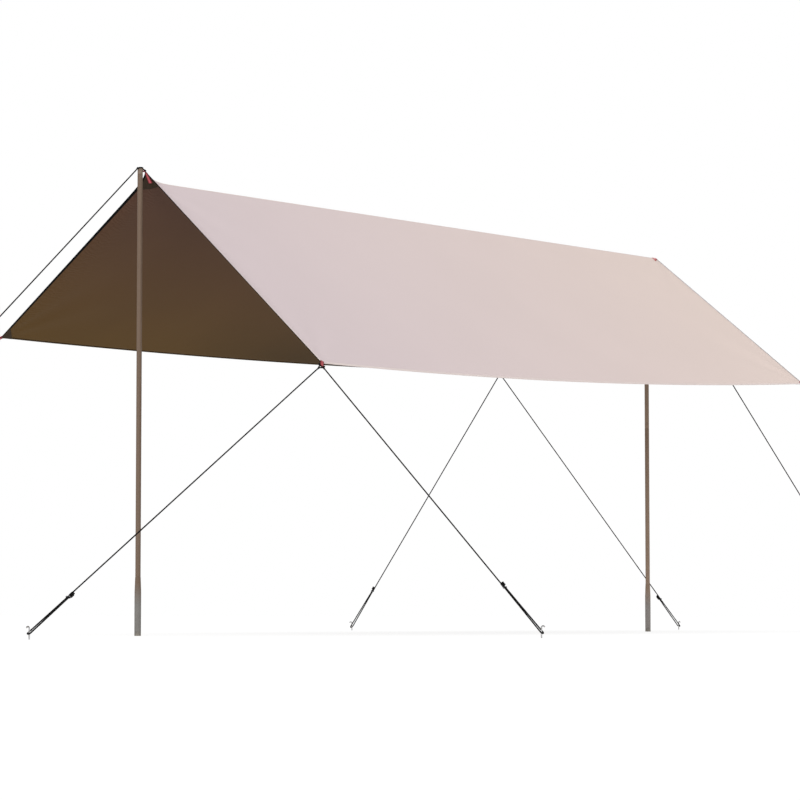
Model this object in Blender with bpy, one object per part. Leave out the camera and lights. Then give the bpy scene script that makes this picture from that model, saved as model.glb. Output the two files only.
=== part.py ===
"""Ridge canopy on two poles, with straps, guy lines, tensioners and pegs.

Metres, +Z up. X runs along the ridge from the near end (-X) to the far end (+X),
-Y is the front side. The origin is on the ground, midway between the pegs.
"""
import math

import bmesh
import bpy
from mathutils import Matrix, Vector

# Clearance kept between pieces that touch
GAP = 0.0003

# Canopy cloth
RIDGE_LENGTH = 5.0
RIDGE_NEAR_HEIGHT = 2.413
RIDGE_FAR_HEIGHT = 2.449
NEAR_PEAK = 0.037
PEAK_REACH = 0.045
CORNERS = {
    "front_near": Vector((-2.483, -1.171, 1.388)),
    "front_far": Vector((2.50, -1.10, 1.573)),
    "rear_near": Vector((-2.503, 1.082, 1.635)),
    "rear_far": Vector((2.49, 1.25, 1.75)),
}
EAVE_DROOP = {"front": 0.044, "rear": 0.030}
PANEL_SAG = 0.012
CLOTH_THICKNESS = 0.002
STATIONS_ALONG = 20
STATIONS_ACROSS = 12

# Poles
POLE_RADIUS = 0.014
FOOT_RADIUS = 0.0175
FOOT_HEIGHT = 0.31
FOOT_TAPER = 0.08
SECTION_JOINT_HEIGHT = 1.36
CAP_HEIGHT = 0.03
PIN_RADIUS = 0.004
NEAR_PIN_HEIGHT = 0.006
FAR_PIN_HEIGHT = 0.008
NEAR_POLE_X = -RIDGE_LENGTH / 2 - 0.067
FAR_POLE_X = RIDGE_LENGTH / 2 - 0.12
NEAR_POLE_TOP = 2.476
POLE_SEGMENTS = 24

# Webbing straps at the corners and the ridge ends
STRAP_WIDTH = 0.02
STRAP_THICKNESS = 0.003
STRAP_LENGTH = 0.045
STRAP_UNDERLAP = 0.015
STRAP_SEAT = 0.0005
EYE_RADIUS = 0.0055
RIDGE_STRAP_LENGTH = 0.04
RIDGE_STRAP_RISE = math.radians(30)
RIDGE_STRAP_SEAT = {"near": 0.0011, "far": GAP}

# Guy lines, tensioners and pegs
ROPE_RADIUS = 0.0036
STRAND_SPACING = 0.0055
TENSIONER_DISTANCE = 0.30
TENSIONER_LENGTH = 0.03
TENSIONER_WIDTH = 0.013
TENSIONER_THICKNESS = 0.004
HOLE_RADIUS = 0.0042
TAIL_LENGTH = 0.03
PEG_RADIUS = 0.0035
PEG_SHAFT_HEIGHT = 0.05
PEG_HOOK_RADIUS = 0.009
LOOP_HEIGHT = 0.03
LOOP_STEPS = 8
RIDGE_PEG_X = 5.48
END_PEG_X = 4.58
END_PEG_Y = 1.15
SIDE_PEG_X = 2.45
SIDE_PEG_Y = 2.50

# Colours, roughness and metallic value of each material
FINISHES = {
    "cloth": ((0.66, 0.58, 0.55), 0.85, 0.0),
    "webbing": ((0.42, 0.05, 0.06), 0.8, 0.0),
    "pole_paint": ((0.20, 0.15, 0.12), 0.45, 0.3),
    "foot_rubber": ((0.20, 0.19, 0.18), 0.8, 0.0),
    "cap_plastic": ((0.18, 0.14, 0.11), 0.5, 0.0),
    "rope": ((0.02, 0.02, 0.02), 0.9, 0.0),
    "tensioner_metal": ((0.10, 0.10, 0.11), 0.35, 0.9),
    "peg_steel": ((0.55, 0.55, 0.56), 0.3, 1.0),
}


def clear_scene():
    for old in list(bpy.data.objects):
        bpy.data.objects.remove(old, do_unlink=True)


def make_material(name):
    colour, roughness, metallic = FINISHES[name]
    material = bpy.data.materials.new(name)
    material.use_nodes = True
    shader = material.node_tree.nodes["Principled BSDF"]
    shader.inputs["Base Color"].default_value = (*colour, 1.0)
    shader.inputs["Roughness"].default_value = roughness
    shader.inputs["Metallic"].default_value = metallic
    return material


def add_object(name, data, material):
    piece = bpy.data.objects.new(name, data)
    bpy.context.collection.objects.link(piece)
    data.materials.append(material)
    return piece


def mesh_object(name, bm, material, smooth_angle=None):
    """Writes a bmesh to a new object whose faces point out."""
    bmesh.ops.recalc_face_normals(bm, faces=bm.faces)
    mesh = bpy.data.meshes.new(name)
    bm.to_mesh(mesh)
    bm.free()
    if smooth_angle is not None:
        mesh.shade_smooth()
        mesh.set_sharp_from_angle(angle=smooth_angle)
    return add_object(name, mesh, material)


# The canopy cloth as a surface over u (along the ridge) and v (across it), -1 to 1

def ridge_point(u):
    along = (u + 1) / 2
    height = RIDGE_NEAR_HEIGHT + (RIDGE_FAR_HEIGHT - RIDGE_NEAR_HEIGHT) * along
    height += NEAR_PEAK * math.exp(-along * RIDGE_LENGTH / PEAK_REACH)
    return Vector((u * RIDGE_LENGTH / 2, 0, height))


def eave_point(u, side):
    near = CORNERS[side + "_near"]
    far = CORNERS[side + "_far"]
    return near.lerp(far, (u + 1) / 2)


def cloth_point(u, v):
    side = "front" if v < 0 else "rear"
    across = abs(v)
    point = ridge_point(u).lerp(eave_point(u, side), across)
    slack = 1 - u * u
    point.z -= slack * (EAVE_DROOP[side] * across + 4 * PANEL_SAG * across * (1 - across))
    return point


def station(t):
    """Stations crowd towards both ends of the ridge."""
    return math.sin(t * math.pi / 2)


def add_cloth(material):
    bm = bmesh.new()
    bmesh.ops.create_grid(bm, x_segments=STATIONS_ALONG, y_segments=STATIONS_ACROSS, size=1)
    for vert in bm.verts:
        vert.co = cloth_point(station(vert.co.x), vert.co.y)
    mesh = bpy.data.meshes.new("canopy_sheet")
    bm.to_mesh(mesh)
    bm.free()
    cloth = add_object("canopy_sheet", mesh, material)
    solidify = cloth.modifiers.new("thickness", "SOLIDIFY")
    solidify.thickness = CLOTH_THICKNESS
    solidify.offset = -1
    return cloth


def corner_frame(corner):
    """Tip of a cloth corner, its outward diagonal and the cloth's upward normal."""
    u = -1 if corner.endswith("near") else 1
    v = -1 if corner.startswith("front") else 1
    tip = cloth_point(u, v)
    inner_u = u * station(1 - 2 / STATIONS_ALONG)
    inner_v = v * (1 - 2 / STATIONS_ACROSS)
    outward_x = (tip - cloth_point(inner_u * abs(u), v)).normalized()
    outward_y = (tip - cloth_point(u, inner_v)).normalized()
    normal = outward_x.cross(outward_y).normalized()
    if normal.z < 0:
        normal.negate()
    return tip, (outward_x + outward_y).normalized(), normal


# Flat pieces with eyes: straps and tensioners

def circle_points(centre_x, radius, steps):
    turn = 2 * math.pi / steps
    return [(centre_x + radius * math.cos(turn * i), radius * math.sin(turn * i)) for i in range(steps)]


def half_circle(centre_x, radius, start_angle, steps):
    turn = math.pi / steps
    angles = [start_angle + turn * i for i in range(steps + 1)]
    return [(centre_x + radius * math.cos(a), radius * math.sin(a)) for a in angles]


def add_loop(bm, points):
    verts = [bm.verts.new((x, y, 0)) for x, y in points]
    return [bm.edges.new((verts[i - 1], verts[i])) for i in range(len(verts))]


def plate_with_holes(outline, holes, thickness):
    """A flat plate in XY with round holes, its middle plane on Z zero."""
    bm = bmesh.new()
    edges = add_loop(bm, outline)
    for hole in holes:
        edges += add_loop(bm, hole)
    bmesh.ops.triangle_fill(bm, edges=edges, use_beauty=True)
    extruded = bmesh.ops.extrude_face_region(bm, geom=bm.faces[:])
    moved = [item for item in extruded["geom"] if isinstance(item, bmesh.types.BMVert)]
    bmesh.ops.translate(bm, verts=moved, vec=(0, 0, thickness))
    bmesh.ops.translate(bm, verts=bm.verts, vec=(0, 0, -thickness / 2))
    return bm


def axes_matrix(origin, x_axis, z_axis):
    """A matrix with the given X axis, and Z as near to z_axis as that allows."""
    x_axis = x_axis.normalized()
    y_axis = z_axis.cross(x_axis).normalized()
    z_axis = x_axis.cross(y_axis)
    rotation = Matrix((x_axis, y_axis, z_axis)).transposed().to_4x4()
    return Matrix.Translation(origin) @ rotation


def add_strap(name, origin, direction, normal, length, material):
    """A webbing tab that starts square at its origin and ends round, with an eye."""
    half = STRAP_WIDTH / 2
    outline = [(0, half), (0, -half)] + half_circle(length - half, half, -math.pi / 2, 8)
    bm = plate_with_holes(outline, [circle_points(length - half, EYE_RADIUS, 12)], STRAP_THICKNESS)
    strap = mesh_object(name, bm, material)
    strap.matrix_world = axes_matrix(origin, direction, normal)
    return origin + direction * (length - half)


def add_corner_strap(corner, material):
    """Seats a strap under its cloth corner and returns the eye and the cloth's normal."""
    tip, diagonal, normal = corner_frame(corner)
    drop = CLOTH_THICKNESS + STRAP_SEAT + STRAP_THICKNESS / 2
    origin = tip - diagonal * STRAP_UNDERLAP - normal * drop
    eye = add_strap("strap_" + corner, origin, diagonal, normal, STRAP_LENGTH, material)
    return eye, normal


def add_ridge_strap(end, material):
    """Hangs a strap on the ridge's end and returns its eye and its upward normal."""
    outward = -1 if end == "near" else 1
    rise = RIDGE_STRAP_RISE if end == "near" else -RIDGE_STRAP_RISE
    direction = Vector((outward * math.cos(rise), 0, math.sin(rise)))
    normal = Vector((-outward * math.sin(rise), 0, math.cos(rise)))
    lead = STRAP_THICKNESS / 2 * abs(math.sin(rise)) + RIDGE_STRAP_SEAT[end]
    origin = ridge_point(outward) + Vector((outward * lead, 0, -CLOTH_THICKNESS))
    eye = add_strap("strap_ridge_" + end, origin, direction, normal, RIDGE_STRAP_LENGTH, material)
    return eye, normal


# Poles

def turned(name, profile, material, centre_x):
    """Turns a profile of (radius, height) points about a pole's axis."""
    bm = bmesh.new()
    verts = [bm.verts.new((radius, 0, height)) for radius, height in profile]
    edges = [bm.edges.new(pair) for pair in zip(verts, verts[1:])]
    bmesh.ops.spin(bm, geom=verts + edges, cent=(0, 0, 0), axis=(0, 0, 1),
                   angle=2 * math.pi, steps=POLE_SEGMENTS, use_merge=True)
    bmesh.ops.remove_doubles(bm, verts=bm.verts, dist=1e-5)
    piece = mesh_object(name, bm, material, smooth_angle=math.radians(35))
    piece.location.x = centre_x
    return piece


def add_pole(end, centre_x, top, pin_height, materials):
    joint = SECTION_JOINT_HEIGHT
    cap_base = top - CAP_HEIGHT
    foot = [(0, 0), (FOOT_RADIUS, 0), (FOOT_RADIUS, FOOT_HEIGHT - FOOT_TAPER),
            (POLE_RADIUS, FOOT_HEIGHT), (0, FOOT_HEIGHT)]
    lower = [(0, FOOT_HEIGHT + GAP), (POLE_RADIUS, FOOT_HEIGHT + GAP), (POLE_RADIUS, joint), (0, joint)]
    upper = [(0, joint + GAP), (POLE_RADIUS, joint + GAP), (POLE_RADIUS, cap_base), (0, cap_base)]
    tip = [(0, cap_base + GAP), (POLE_RADIUS, cap_base + GAP), (POLE_RADIUS, top), (PIN_RADIUS, top),
           (PIN_RADIUS, top + pin_height), (0, top + pin_height)]
    turned(end + "_pole_foot", foot, materials["foot_rubber"], centre_x)
    turned(end + "_pole_lower", lower, materials["pole_paint"], centre_x)
    turned(end + "_pole_upper", upper, materials["pole_paint"], centre_x)
    turned(end + "_pole_tip", tip, materials["cap_plastic"], centre_x)


def far_pole_top():
    """Height at which the far pole's cap just meets the cloth's underside."""
    half_length = RIDGE_LENGTH / 2
    clear = math.inf
    for side in ("front", "rear"):
        u = (FAR_POLE_X - POLE_RADIUS) / half_length
        ridge = ridge_point(u)
        eave = eave_point(u, side)
        fall = (ridge.z - eave.z) / abs(eave.y)
        cloth_depth = CLOTH_THICKNESS * math.hypot(1, fall)
        slack = (1 - u * u) * (EAVE_DROOP[side] + 4 * PANEL_SAG) * POLE_RADIUS / abs(eave.y)
        clear = min(clear, ridge.z - fall * POLE_RADIUS - cloth_depth - slack)
    return clear - GAP


# Guy lines: a rope from its strap to its peg, round it and back to the tensioner

def add_tube(name, points, radius, material):
    curve = bpy.data.curves.new(name, "CURVE")
    curve.dimensions = "3D"
    curve.bevel_depth = radius
    curve.bevel_resolution = 2
    curve.use_fill_caps = True
    curve.render_resolution_u = 0
    spline = curve.splines.new("POLY")
    spline.points.add(len(points) - 1)
    for spline_point, point in zip(spline.points, points):
        spline_point.co = (*point, 1)
    return add_object(name, curve, material)


def add_peg(name, foot, outward, material):
    """A round peg that stands up from the ground and hooks over, away from the canopy."""
    centre = foot + Vector((0, 0, PEG_SHAFT_HEIGHT)) + outward * PEG_HOOK_RADIUS
    points = [foot, foot + Vector((0, 0, PEG_SHAFT_HEIGHT / 2))]
    for i in range(LOOP_STEPS + 1):
        angle = math.pi * (1 - 0.9 * i / LOOP_STEPS)
        arm = outward * math.cos(angle) + Vector((0, 0, math.sin(angle)))
        points.append(centre + arm * PEG_HOOK_RADIUS)
    add_tube(name, points, PEG_RADIUS, material)


def add_tensioner(name, centre, direction, side, material):
    """A flat bar with a hole for each strand of the rope."""
    half = TENSIONER_WIDTH / 2
    reach = TENSIONER_LENGTH / 2 - half
    outline = half_circle(reach, half, -math.pi / 2, 6) + half_circle(-reach, half, math.pi / 2, 6)
    holes = [circle_points(offset, HOLE_RADIUS, 12) for offset in (STRAND_SPACING, -STRAND_SPACING)]
    bm = plate_with_holes(outline, holes, TENSIONER_THICKNESS)
    bar = mesh_object(name, bm, material)
    bar.matrix_world = axes_matrix(centre, side, direction)


def tie_point(eye, normal, towards):
    """Where a rope that leaves for the point towards meets the rim of its strap."""
    pull = (towards - eye).normalized()
    lift = abs(pull.dot(normal))
    in_plane = (pull - normal * pull.dot(normal)).normalized()
    clearance = (GAP + STRAP_THICKNESS / 2 * lift) / pull.dot(in_plane)
    return eye + in_plane * (STRAP_WIDTH / 2 + clearance)


def add_guy(label, lead, foot, materials):
    """Runs a guy line through its lead points, down to the peg at foot."""
    start = lead[-1]
    loop_centre = foot + Vector((0, 0, LOOP_HEIGHT))
    direction = (loop_centre - start).normalized()
    side = direction.cross(Vector((0, 0, 1))).normalized()
    slope = math.asin(-direction.z)
    radius = (PEG_RADIUS + ROPE_RADIUS + GAP) / math.cos(slope)
    bar_centre = loop_centre - direction * TENSIONER_DISTANCE
    before = bar_centre - direction * TAIL_LENGTH
    points = list(lead)
    points.append(before + side * STRAND_SPACING)
    points.append(bar_centre + direction * TAIL_LENGTH + side * STRAND_SPACING)
    for i in range(LOOP_STEPS + 1):
        angle = math.pi * i / LOOP_STEPS
        arm = side * math.cos(angle) + direction * math.sin(angle)
        points.append(loop_centre + arm * radius)
    points.append(bar_centre + direction * TAIL_LENGTH - side * STRAND_SPACING)
    points.append(before - side * STRAND_SPACING)
    add_tube("guy_" + label, points, ROPE_RADIUS, materials["rope"])
    add_tensioner("tensioner_" + label, bar_centre, direction, side, materials["tensioner_metal"])
    outward = Vector((direction.x, direction.y, 0)).normalized()
    add_peg("peg_" + label, foot, outward, materials["peg_steel"])


def add_corner_guys(corner, eye, normal, materials):
    """Two guys a corner: one out along the ridge, one out to the side."""
    tip = CORNERS[corner]
    feet = {
        "end": Vector((math.copysign(END_PEG_X, tip.x), math.copysign(END_PEG_Y, tip.y), 0)),
        "side": Vector((math.copysign(SIDE_PEG_X, tip.x), math.copysign(SIDE_PEG_Y, tip.y), 0)),
    }
    for way, foot in feet.items():
        add_guy(corner + "_" + way, [tie_point(eye, normal, foot)], foot, materials)


def near_ridge_lead(eye, normal):
    """The near ridge line passes over the near pole's cap, beside its pin."""
    over = NEAR_POLE_TOP + ROPE_RADIUS + GAP
    beside = -(PIN_RADIUS + ROPE_RADIUS + GAP)
    inner = Vector((NEAR_POLE_X + POLE_RADIUS, beside, over))
    outer = Vector((NEAR_POLE_X - POLE_RADIUS, beside, over))
    return [tie_point(eye, normal, inner), inner, outer]


def build():
    clear_scene()
    materials = {name: make_material(name) for name in FINISHES}
    add_cloth(materials["cloth"])
    add_pole("near", NEAR_POLE_X, NEAR_POLE_TOP, NEAR_PIN_HEIGHT, materials)
    add_pole("far", FAR_POLE_X, far_pole_top(), FAR_PIN_HEIGHT, materials)
    for corner in CORNERS:
        eye, normal = add_corner_strap(corner, materials["webbing"])
        add_corner_guys(corner, eye, normal, materials)
    near_peg = Vector((-RIDGE_PEG_X, 0, 0))
    far_peg = Vector((RIDGE_PEG_X, 0, 0))
    near_lead = near_ridge_lead(*add_ridge_strap("near", materials["webbing"]))
    far_lead = [tie_point(*add_ridge_strap("far", materials["webbing"]), far_peg)]
    add_guy("ridge_near", near_lead, near_peg, materials)
    add_guy("ridge_far", far_lead, far_peg, materials)


build()
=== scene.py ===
"""Looks of the ridge canopy: cloth, webbing, ropes, poles, tensioners and pegs.

Metres, +Z up. X runs along the ridge from the near end (-X) to the far end (+X),
-Y is the front side.
"""

import math

import bmesh
import bpy
from mathutils import Matrix, Vector, noise


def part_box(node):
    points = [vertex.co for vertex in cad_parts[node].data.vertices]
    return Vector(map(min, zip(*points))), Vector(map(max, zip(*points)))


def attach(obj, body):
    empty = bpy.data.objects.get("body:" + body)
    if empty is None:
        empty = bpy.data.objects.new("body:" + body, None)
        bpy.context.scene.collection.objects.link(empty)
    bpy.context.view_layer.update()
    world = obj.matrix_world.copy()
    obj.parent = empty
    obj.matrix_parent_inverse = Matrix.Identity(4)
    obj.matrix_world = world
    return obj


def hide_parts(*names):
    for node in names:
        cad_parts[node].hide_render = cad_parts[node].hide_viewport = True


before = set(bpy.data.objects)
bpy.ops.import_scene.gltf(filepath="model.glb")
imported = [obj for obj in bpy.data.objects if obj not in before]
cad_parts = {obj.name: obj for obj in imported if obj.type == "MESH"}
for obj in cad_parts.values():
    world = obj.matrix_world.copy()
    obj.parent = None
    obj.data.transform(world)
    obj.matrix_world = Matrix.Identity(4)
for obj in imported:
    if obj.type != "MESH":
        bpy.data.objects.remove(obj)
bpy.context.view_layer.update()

MM = 0.001
GAP = 0.3 * MM
MERGE_DISTANCE = 0.01 * MM
UP = Vector((0, 0, 1))

# Canopy cloth
RIDGE_LENGTH = 5.0
HALF_LENGTH = RIDGE_LENGTH / 2
RIDGE_NEAR_HEIGHT = 2.413
RIDGE_FAR_HEIGHT = 2.449
NEAR_PEAK = 0.037
PEAK_REACH = 0.036
PEAK_PULL = Vector((-26 * MM, 0, 15 * MM))
PEAK_SPREAD = 0.04
CORNERS = {
    "front_near": Vector((-2.483, -1.171, 1.388)),
    "front_far": Vector((2.50, -1.10, 1.573)),
    "rear_near": Vector((-2.503, 1.082, 1.635)),
    "rear_far": Vector((2.49, 1.25, 1.75)),
}
EAVE_DROOP = {"front": 0.044, "rear": 0.030}
PANEL_SAG = 0.012
CLOTH_THICKNESS = 1.0 * MM
COLUMNS = 220
ROWS = 160
END_CROWDING = 0.45
RIDGE_CROWDING = 1.4
NORMAL_STEP = 0.001

# Soft folds and slack of the cloth
FOLD_HEIGHT = 3.0 * MM
FOLD_REACH = 0.26
FOLD_LOBES = 5
FOLD_PHASES = {"front_near": 0.4, "front_far": 2.1, "rear_near": 3.3, "rear_far": 5.0}
RIDGE_FOLD_SHARE = 0.6
RIPPLE_HEIGHT = 2.5 * MM
RIPPLE_SIZE = 0.55

# Hem, edge bindings, ridge seam and patches
HEM_WIDTH = 15 * MM
HEM_THICKNESS = 0.5 * MM
HEM_CLOTH = 0.3 * MM
BINDING_WIDTH = 12 * MM
BINDING_LIP = 2 * MM
BINDING_THICKNESS = 0.5 * MM
EAVE_BINDING_INSET = 2 * MM
SEAM_HALF_WIDTH = 7 * MM
SEAM_ROWS = 4
PATCH_THICKNESS = 0.6 * MM
PATCH_CELL = 0.007
PATCH_BULGE = 2 * MM
CORNER_PATCH = 0.09
CORNER_PATCH_INSET = 1 * MM
RIDGE_PATCH_LENGTH = {"near": 0.10, "far": 0.16}
RIDGE_PATCH_SPREAD = 0.10

# Stitches
STITCH_LENGTH = 3.2 * MM
STITCH_PITCH = 4.5 * MM
STITCH_WIDTH = 0.8 * MM
STITCH_INSET = 3 * MM

# Poles
POLE_RADIUS = 0.014
FOOT_RADIUS = 0.0175
FOOT_HEIGHT = 0.31
FOOT_TAPER = 0.08
FOOT_EDGE = 1.5 * MM
FOOT_LIP = 0.5 * MM
FOOT_LIP_HEIGHT = 1 * MM
FOOT_GROOVES = (0.010, 0.016, 0.022)
FOOT_GROOVE = (0.8 * MM, 3 * MM)
SECTION_JOINT_HEIGHT = 1.36
SECTION_EDGE = 0.8 * MM
CRIMP_DROP = 0.035
CRIMP_GROOVE = (0.6 * MM, 4 * MM)
CAP_HEIGHT = 0.03
CAP_LOWER_EDGE = 0.6 * MM
CAP_UPPER_EDGE = 3 * MM
PIN_RADIUS = 0.004
PIN_FILLET = 1 * MM
PIN_EDGE = 2 * MM
NEAR_POLE_X = -HALF_LENGTH - 0.067
FAR_POLE_X = HALF_LENGTH - 0.12
NEAR_POLE_TOP = 2.476
POLE_SIDES = 48
EDGE_STEPS = 4
GROOVE_STEPS = 6

# Webbing straps
STRAP_WIDTH = 0.02
STRAP_THICKNESS = 0.003
STRAP_LENGTH = 0.045
STRAP_UNDERLAP = 0.015
STRAP_SEAT = 0.0005
STRAP_CLOTH = 0.002
RIDGE_STRAP_LENGTH = 0.04
RIDGE_STRAP_RISE = {"near": math.radians(30), "far": math.radians(-42)}
RIDGE_STRAP_SEAT = {"near": 0.0011, "far": GAP}
CAD_STEP_ALONG = math.sin(0.45 * math.pi)
CAD_STEP_ACROSS = 5 / 6
WEBBING_THICKNESS = 1.2 * MM
LOOP_ROOM = 4.4 * MM
LOOP_FLARE = 1.4
LOOP_ROOT = 1 * MM
STRAP_GRIP = 12 * MM
STRAP_CLOTH_LIFT = 3.5 * MM
STRAP_HALF_GAP = 2.1 * MM
CORNER_STRAP_COLUMNS = 6
RIDGE_STRAP_COLUMNS = 8
LEG_STEPS = 5
LOOP_SIDE_STEPS = 6
LOOP_TURN_STEPS = 10
RIDGE_LEG_INSET = 2 * MM
RIDGE_LEG_SPREAD = 18 * MM
RIDGE_FLAP_SPREAD = 40 * MM
RIDGE_LEG = 50 * MM
RIDGE_ROW_LENGTH = 6 * MM
FLAP_STITCHES = ((8 * MM, 12 * MM), (47 * MM, 28 * MM), (47 * MM, 3 * MM), (8 * MM, 3 * MM))
TAIL_REACH = 68 * MM
TAIL_DROP = math.radians(54)
TAIL_FLARE = 0.7
TAIL_HALF_WIDTH = 13 * MM
TAIL_STEPS = 6
PINCHED_HALF_WIDTH = 6 * MM

# Ropes
ROPE_RADIUS = 0.0036
ROPE_SIDES = 10
STRAND_SPACING = 0.0055
TAIL_LENGTH = 0.03
WRAP_TURNS = 3
WRAP_STEPS = 12
WRAP_PITCH = 2 * ROPE_RADIUS + 0.1 * MM
KNOT_LENGTH = 2.2 * ROPE_RADIUS * WRAP_TURNS
KNOT_END = 1.5 * MM
EYE_LEAD = 13 * MM
EYE_SPREAD = 1.1 * ROPE_RADIUS
EYE_BESIDE = 1.3 * ROPE_RADIUS
EYE_AHEAD = 1.2 * ROPE_RADIUS
EYE_SHOULDER = 0.75
EYE_BEND = 2 * MM
EYE_NARROW = 0.7
EYE_STEPS = 5
CAP_REST = 0.8
LAY_STEP = 2.1 * ROPE_RADIUS
LAY_BACK = 2.2 * ROPE_RADIUS
LAY_ASIDE = 1.0 * MM
SPLICE_LENGTH = 24 * MM
SPLICE_STEPS = 6
SPLICE_THINNEST = 0.3
ROPE_END_SHARE = 0.6

# Tensioners and pegs
TENSIONER_DISTANCE = 0.30
TENSIONER_LENGTH = 0.03
TENSIONER_WIDTH = 0.013
TENSIONER_THICKNESS = 0.004
TENSIONER_EDGE = 0.5 * MM
TENSIONER_END_STEPS = 12
HOLE_RADIUS = 0.0042
HOLE_STEPS = 20
PEG_RADIUS = 0.0035
PEG_SIDES = 16
PEG_SHAFT_HEIGHT = 0.05
PEG_HOOK_RADIUS = 0.009
PEG_HOOK_TURN = 0.9 * math.pi
PEG_HOOK_STEPS = 20
PEG_END_SHARE = 0.55
PEG_END_LENGTH = 1 * MM
LOOP_HEIGHT = 0.03
LOOP_STEPS = 14
RIDGE_PEG_X = 5.48
END_PEG = (4.58, 1.15)
SIDE_PEG = (2.45, 2.50)

# Camera and light
CAMERA_PLACE = Vector((-15.03, -11.20, 0.12))
CAMERA_YAW = math.radians(52.78)
CAMERA_PITCH = math.radians(3.85)
CAMERA_LENS = 142.47
FLOOR_HALF = 60
FLOOR_GREY = (0.25, 0.25, 0.25)
FLOOR_GLOW = 0.82
SKY_STRENGTH = 0.60
LIGHT_SPREAD = math.radians(45)
KEY_STRENGTH = 0.9
KEY_FROM = Vector((-1.2, -0.2, 1.3))
FILL_STRENGTH = 1.0
FILL_FROM = Vector((-1.0, -0.65, 0.2))

# Colours, linear
WHITE = (1, 1, 1)
OUTER_NEAR = (0.688, 0.586, 0.599)
OUTER_FAR = (0.769, 0.643, 0.587)
INNER_LOW = (0.092, 0.049, 0.007)
INNER_HIGH = (0.087, 0.043, 0.029)
HEM_PALE = (0.76, 0.66, 0.63)
THREAD_PALE = (0.80, 0.74, 0.70)
BLACK = (0.003, 0.003, 0.003)
CHARCOAL = (0.014, 0.013, 0.013)
EAVE_BROWN = (0.035, 0.022, 0.010)
# The patch's colour between its threads, with painted shade, and on them, with painted light.
PATCH_SHADED_GAPS = (0.030, 0.021, 0.013)
PATCH_LIT_THREADS = (0.058, 0.040, 0.026)
RED_SHADED_EDGE = (0.19, 0.014, 0.025)
RED_LIGHT = (0.50, 0.10, 0.11)
RED_FADED = (0.78, 0.42, 0.42)
# Copies of one paint and one rubber, with painted light: the near pole's are darker where the key
# light reaches it, and the far pole's are lighter against the canopy's shade on it.
POLE_BROWN_PAINTED_LIGHT = {"near": (0.152, 0.104, 0.073), "far": (0.262, 0.182, 0.130)}
POLE_WORN_PAINTED_LIGHT = {"near": (0.175, 0.123, 0.088), "far": (0.29, 0.206, 0.150)}
CAP_BROWN = (0.19, 0.14, 0.105)
CAP_WORN = (0.24, 0.18, 0.14)
BOOT_GREY_PAINTED_LIGHT = {"near": (0.180, 0.171, 0.158), "far": (0.235, 0.215, 0.20)}
BOOT_DARK = (0.07, 0.065, 0.06)
BOOT_DUST = (0.30, 0.27, 0.23)
STEEL = (0.50, 0.50, 0.51)
STEEL_DULL = (0.30, 0.28, 0.26)
BAR_DARK = (0.06, 0.06, 0.065)
BAR_WORN = (0.35, 0.35, 0.36)

# Weave, stitch rows and zones of the finishes
CLOTH_WEAVE = 0.7 * MM
TAPE_WEAVE = 1.2 * MM
HEM_ROWS = (4 * MM, 12 * MM)
TAPE_ROWS = (9 * MM,)
WEAVE_RELIEF = 0.02
PUCKER_RELIEF = 1.3
# A strap's painted edge shade is full beyond the first distance from its middle and gone within the
# second.
EDGE_SHADE_ZONE = (0.38 * STRAP_WIDTH, 0.12 * STRAP_WIDTH)
INNER_TONE_HEIGHTS = (1.5, 2.4)
# Painted shade on the underside: darker past these X and below these heights, by this share.
INNER_PAINTED_SHADE_ALONG = (-1.0, 0.2)
INNER_PAINTED_SHADE_HEIGHTS = (2.0, 1.7)
INNER_PAINTED_SHADE = 0.40
BOOT_PAINT_HEIGHTS = (0.16, 0.28)
BOOT_GRIT_HEIGHTS = (0.03, 0.0)
WORN_ROUGHNESS = 0.15

# Shader groups and materials by name, filled by make_finishes()
patterns = {}
finishes = {}


# The cloth as a surface over u (along the ridge) and v (across it), -1 to 1

def signs(place):
    """Signs of X and Y on the side of the canopy that a place's name gives."""
    return -1 if place.endswith("near") else 1, -1 if place.startswith("front") else 1


def side_of(v):
    return "front" if v < 0 else "rear"


def ridge_point(u):
    along = (u + 1) / 2
    height = RIDGE_NEAR_HEIGHT + (RIDGE_FAR_HEIGHT - RIDGE_NEAR_HEIGHT) * along
    height += NEAR_PEAK * math.exp(-along * RIDGE_LENGTH / PEAK_REACH)
    return Vector((u * HALF_LENGTH, 0, height))


def eave_point(u, side):
    return CORNERS[side + "_near"].lerp(CORNERS[side + "_far"], (u + 1) / 2)


def panel_width(u, v):
    """Width of the cloth from its ridge to the eave on v's side."""
    return (eave_point(u, side_of(v)) - ridge_point(u)).length


def plain_cloth(u, v):
    across = abs(v)
    point = ridge_point(u).lerp(eave_point(u, side_of(v)), across)
    slack = 1 - u * u
    point.z -= slack * (EAVE_DROOP[side_of(v)] * across + 4 * PANEL_SAG * across * (1 - across))
    from_peak = HALF_LENGTH * (1 + u) + across * panel_width(u, v)
    return point + PEAK_PULL * math.exp(-from_peak / PEAK_SPREAD)


def fan(along, across, phase):
    """Folds that fan out of a pulled point, from two distances to it."""
    distance = math.hypot(along, across)
    angle = math.atan2(across, along)
    swell = distance / FOLD_REACH * math.exp(1 - distance / FOLD_REACH)
    return swell * math.sin(2 * angle) * math.cos(2 * FOLD_LOBES * angle + phase)


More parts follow.
